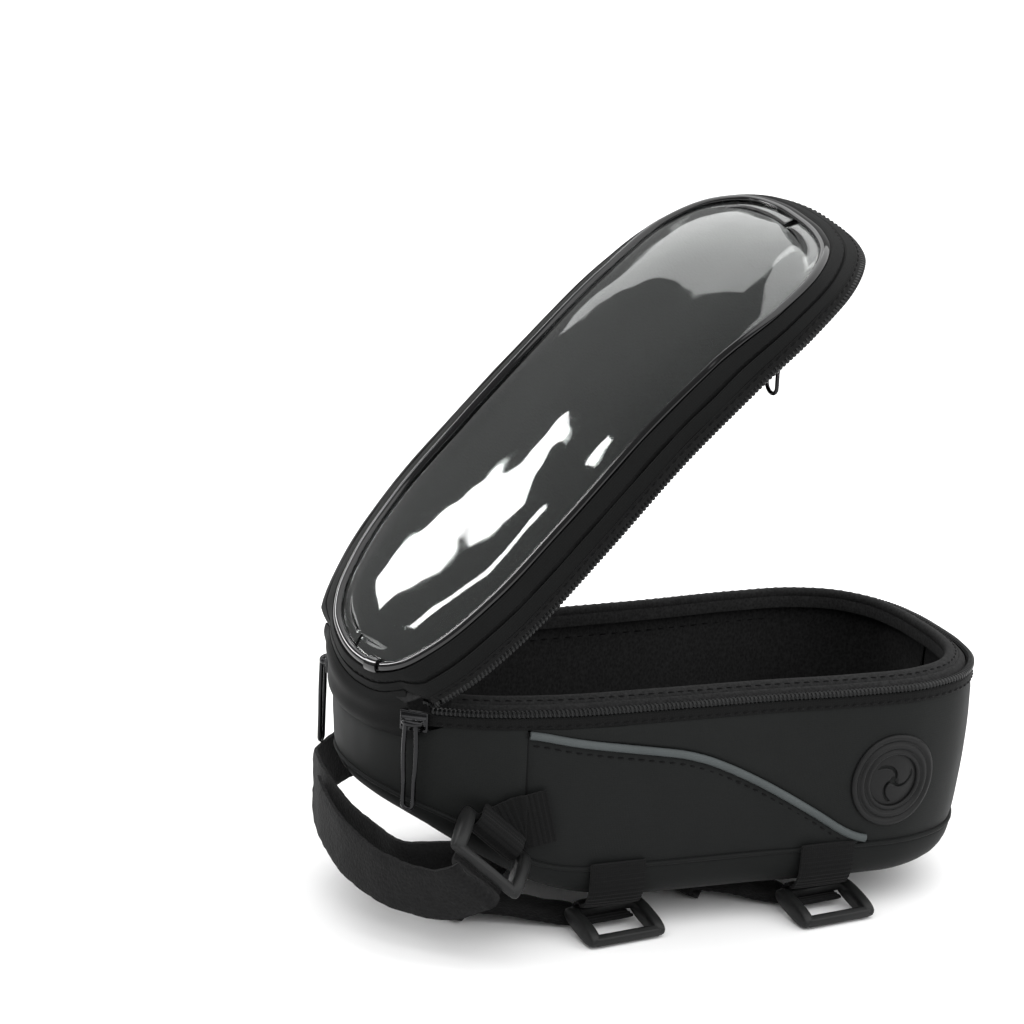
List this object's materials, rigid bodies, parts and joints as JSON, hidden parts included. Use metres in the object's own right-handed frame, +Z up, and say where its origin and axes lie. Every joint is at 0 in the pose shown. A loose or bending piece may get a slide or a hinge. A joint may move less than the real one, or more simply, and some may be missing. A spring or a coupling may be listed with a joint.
{
  "type": "bicycle top tube bag",
  "caption": "Soft teardrop bag for a bicycle's top tube, with a zipped clear-window phone lid that swings open, cable ports, piping and hook-and-loop straps in loop buckles.",
  "frame": {"origin": "middle of the base's flat underside, on the bag's centre plane", "axes": "+X to the wide end with the cable ports, +Y to the far side, +Z up through the lid's opening; -Z is the face that lies on the top tube"},
  "size_m": [0.2159, 0.122, 0.2298],
  "materials": {
    "shell_fabric": "matte softshell",
    "side_cloth": "matte softshell",
    "base_cloth": "matte softshell",
    "lid_cloth": "matte woven",
    "lining_cloth": "brushed",
    "foam": "open-cell foam sheet",
    "board": "matte",
    "reflective_tape": "satin reflective",
    "port_rubber": "matte",
    "zip_tape": "woven",
    "zip_coil": "satin",
    "zip_metal": "gloss gunmetal",
    "gloss_bead": "gloss",
    "clear_film": "clear gloss",
    "webbing": "ribbed webbing",
    "hook_and_loop": "fuzzy",
    "buckle_plastic": "fine matte"
  },
  "bodies": {
    "bag": {"base_board": "board", "base_panel": "base_cloth", "body_zip_coil": "zip_coil", "body_zip_tape": "zip_tape", "hinge_strip": "zip_tape", "hinge_wrap": "side_cloth", "insert_panel_far": "shell_fabric", "insert_panel_near": "shell_fabric", "lining": "lining_cloth", "piping_far": "reflective_tape", "piping_near": "reflective_tape", "port_disc_far": "port_rubber", "port_disc_near": "port_rubber", "port_ring_far": "port_rubber", "port_ring_near": "port_rubber", "rim_binding": "lining_cloth", "side_panel": "side_cloth", "strap_hinge": "hook_and_loop", "strap_middle": "hook_and_loop", "strap_wide": "hook_and_loop", "tab_hinge": "webbing", "tab_middle": "webbing", "tab_wide": "webbing", "wall_padding": "foam"},
    "lid": {"bead_splice": "gloss_bead", "lid_band": "lid_cloth", "lid_border": "lid_cloth", "lid_zip_coil": "zip_coil", "lid_zip_tape": "zip_tape", "pocket_back": "lining_cloth", "pocket_zip_coil": "zip_coil", "pocket_zip_tape": "zip_tape", "window_bead": "gloss_bead", "window_film": "clear_film"},
    "slider_near": {"slider_near": "zip_metal"},
    "slider_far": {"slider_far": "zip_metal"},
    "pull_near": {"pull_near": "zip_metal"},
    "pull_far": {"pull_far": "zip_metal"},
    "pocket_slider": {"pocket_slider": "zip_metal"},
    "pocket_pull": {"pocket_pull": "zip_metal"},
    "buckle_middle": {"buckle_middle": "buckle_plastic"},
    "buckle_wide": {"buckle_wide": "buckle_plastic"},
    "buckle_hinge": {"buckle_hinge": "buckle_plastic"}
  },
  "joints": [
    {"name": "lid_hinge", "type": "hinge", "parent": "bag", "child": "lid", "pos_m": [-0.0953, 0, 0.0625], "axis": [0.2706, -0.9627, 0], "range_deg": [-52, 15]},
    {"name": "slider_near_slide", "type": "slide", "parent": "bag", "child": "slider_near", "axis": [0.7355, -0.6775, 0], "range_m": [0, 0.012]},
    {"name": "slider_far_slide", "type": "slide", "parent": "bag", "child": "slider_far", "axis": [0.5861, 0.8102, 0], "range_m": [0, 0.012]},
    {"name": "pull_near_swing", "type": "hinge", "parent": "slider_near", "child": "pull_near", "pos_m": [-0.09345, -0.03563, 0.0602], "axis": [-0.7355, 0.6775, 0], "range_deg": [0, 110]},
    {"name": "pull_far_swing", "type": "hinge", "parent": "slider_far", "child": "pull_far", "pos_m": [-0.09942, 0.02882, 0.0602], "axis": [0.5861, 0.8102, 0], "range_deg": [0, 110]},
    {"name": "pocket_slide", "type": "slide", "parent": "lid", "child": "pocket_slider", "axis": [0.647, -0.135, 0.7504], "range_m": [-0.095, 0.004]},
    {"name": "pocket_pull_swing", "type": "hinge", "parent": "pocket_slider", "child": "pocket_pull", "pos_m": [0.01058, -0.05058, 0.17617], "axis": [0.1535, -0.9768, -0.1492], "range_deg": [-20, 110]},
    {"name": "buckle_middle_swing", "type": "hinge", "parent": "bag", "child": "buckle_middle", "pos_m": [-0.02978, -0.03934, -0.00373], "axis": [-0.9922, -0.125, 0], "range_deg": [0, 20]},
    {"name": "buckle_wide_swing", "type": "hinge", "parent": "bag", "child": "buckle_wide", "pos_m": [0.03962, -0.04354, -0.00373], "axis": [-0.9922, -0.125, 0], "range_deg": [0, 28]},
    {"name": "buckle_hinge_swing", "type": "hinge", "parent": "bag", "child": "buckle_hinge", "pos_m": [-0.06948, -0.0477, 0.02702], "axis": [0.7345, -0.1899, -0.6515], "range_deg": [-30, 0]}
  ]
}
